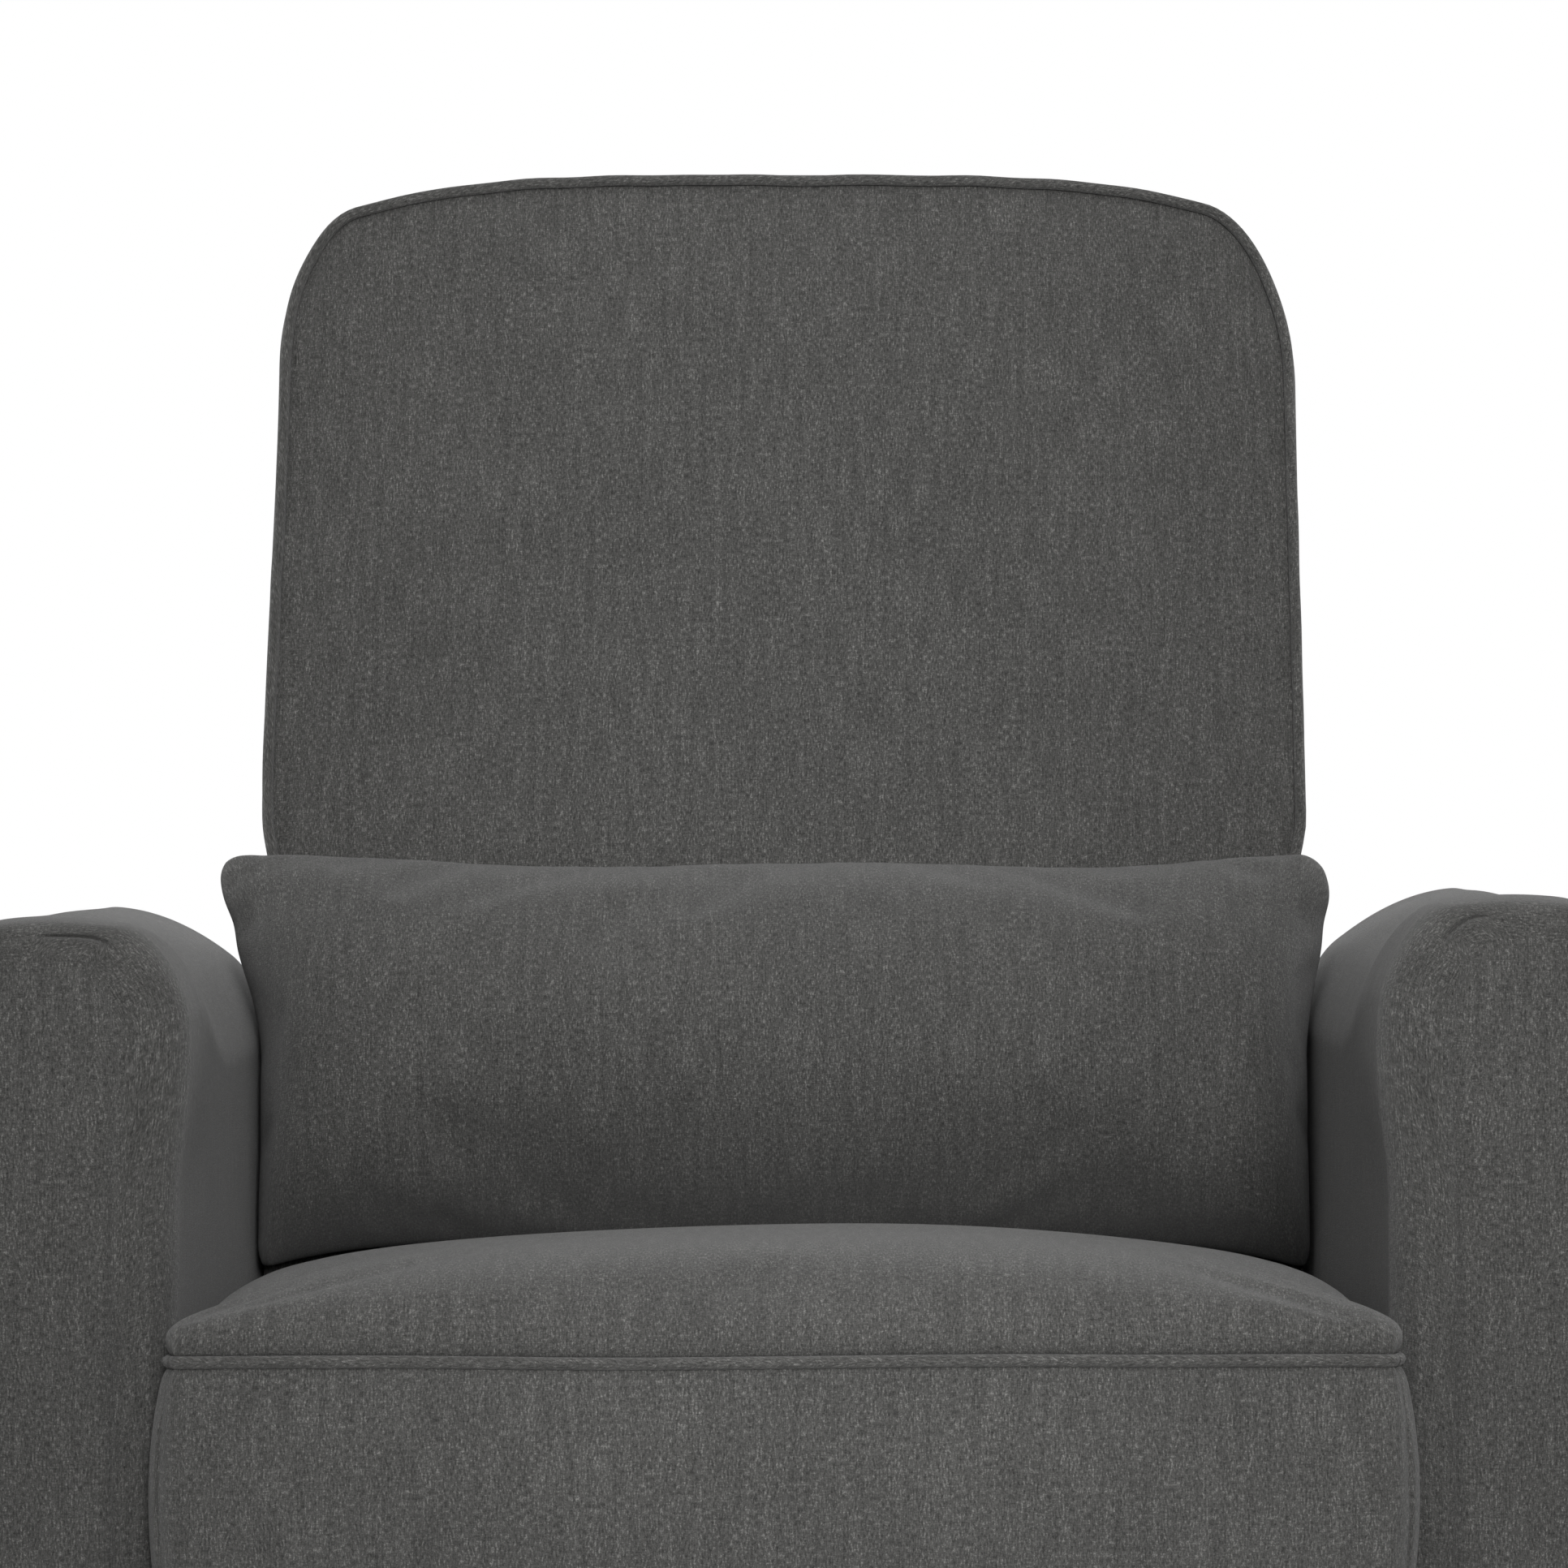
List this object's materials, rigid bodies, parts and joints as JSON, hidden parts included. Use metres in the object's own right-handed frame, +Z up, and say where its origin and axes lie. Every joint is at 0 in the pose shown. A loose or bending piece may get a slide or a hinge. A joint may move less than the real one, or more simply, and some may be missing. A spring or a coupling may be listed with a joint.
{
  "type": "glider nursery chair",
  "caption": "Upholstered swivel glider armchair: tight welted back, boxed loose seat cushion, lumbar pillow, padded arms, linkage glide on a ball-bearing swivel ring base.",
  "frame": {"origin": "on the floor, at the middle of the whole chair's width and depth, on the swivel axis", "axes": "+Z up; +X towards the right-hand arm as seen from the front; the sitter faces -Y"},
  "size_m": [0.7, 0.71, 0.9887],
  "materials": {
    "charcoal_fabric": "woven melange upholstery",
    "timber": "planed, unfinished",
    "zinc_steel": "zinc plated",
    "black_steel": "powder coated",
    "black_plastic": "moulded",
    "rubber": "moulded",
    "dust_cover_fabric": "non-woven and woven webbing",
    "pad_felt": "felted pad"
  },
  "bodies": {
    "base": {"base_ring": "black_steel", "base_crossbars": "black_steel", "floor_glides": "black_plastic", "bearing_lower_race": "zinc_steel", "bearing_balls": "zinc_steel", "ball_cage": "black_plastic", "base_bolts": "zinc_steel", "swivel_bolt": "zinc_steel", "swivel_nut": "zinc_steel"},
    "turntable": {"bearing_upper_race": "zinc_steel", "cross_channel_front": "black_steel", "cross_channel_rear": "black_steel", "turntable_bolts": "zinc_steel", "glide_plate_left": "black_steel", "glide_plate_right": "black_steel", "upper_pivot_bolts": "zinc_steel", "glide_bumpers": "rubber"},
    "front_links": {"front_link_left": "black_steel", "front_link_right": "black_steel", "front_link_bearings": "zinc_steel"},
    "rear_links": {"rear_link_left": "black_steel", "rear_link_right": "black_steel", "rear_link_bearings": "zinc_steel"},
    "seat": {"carriage_rail_left": "black_steel", "carriage_rail_right": "black_steel", "lower_pivot_bolts": "zinc_steel", "carriage_bolts": "zinc_steel", "seat_front_rail": "timber", "seat_rear_rail": "timber", "seat_side_rail_left": "timber", "seat_side_rail_right": "timber", "corner_blocks": "timber", "seat_springs": "zinc_steel", "spring_clips": "zinc_steel", "seat_deck_pad": "pad_felt", "dust_cover": "dust_cover_fabric", "front_panel": "charcoal_fabric", "rear_panel": "charcoal_fabric", "arm_frame_left": "timber", "arm_frame_right": "timber", "arm_left": "charcoal_fabric", "arm_right": "charcoal_fabric", "arm_bolts": "zinc_steel", "back_post_left": "timber", "back_post_right": "timber", "back_top_rail": "timber", "back_lower_rail": "timber", "back_webbing": "dust_cover_fabric", "back_bolts": "zinc_steel", "back_cushion": "charcoal_fabric", "back_outer_panel": "charcoal_fabric", "seat_cushion": "charcoal_fabric"},
    "pillow": {"lumbar_pillow": "charcoal_fabric"}
  },
  "joints": [
    {"name": "swivel", "type": "hinge", "parent": "base", "child": "turntable", "pos_m": [0, 0, 0.039], "axis": [0, 0, 1], "continuous": true},
    {"name": "glide", "type": "hinge", "parent": "turntable", "child": "front_links", "pos_m": [0, -0.11, 0.225], "axis": [1, 0, 0], "range_deg": [-22, 22]},
    {"name": "seat_level", "type": "hinge", "parent": "front_links", "child": "seat", "pos_m": [0, -0.11, 0.105], "axis": [1, 0, 0], "range_deg": [-22, 22]},
    {"name": "rear_link_swing", "type": "hinge", "parent": "turntable", "child": "rear_links", "pos_m": [0, 0.11, 0.225], "axis": [1, 0, 0], "range_deg": [-22, 22]},
    {"name": "pillow_lift", "type": "slide", "parent": "seat", "child": "pillow", "axis": [0, 0.1908, 0.9816], "range_m": [0, 0.35]}
  ],
  "couplings": [
    {"joint": "seat_level", "follows": "glide", "ratio": -1},
    {"joint": "rear_link_swing", "follows": "glide", "ratio": 1}
  ]
}
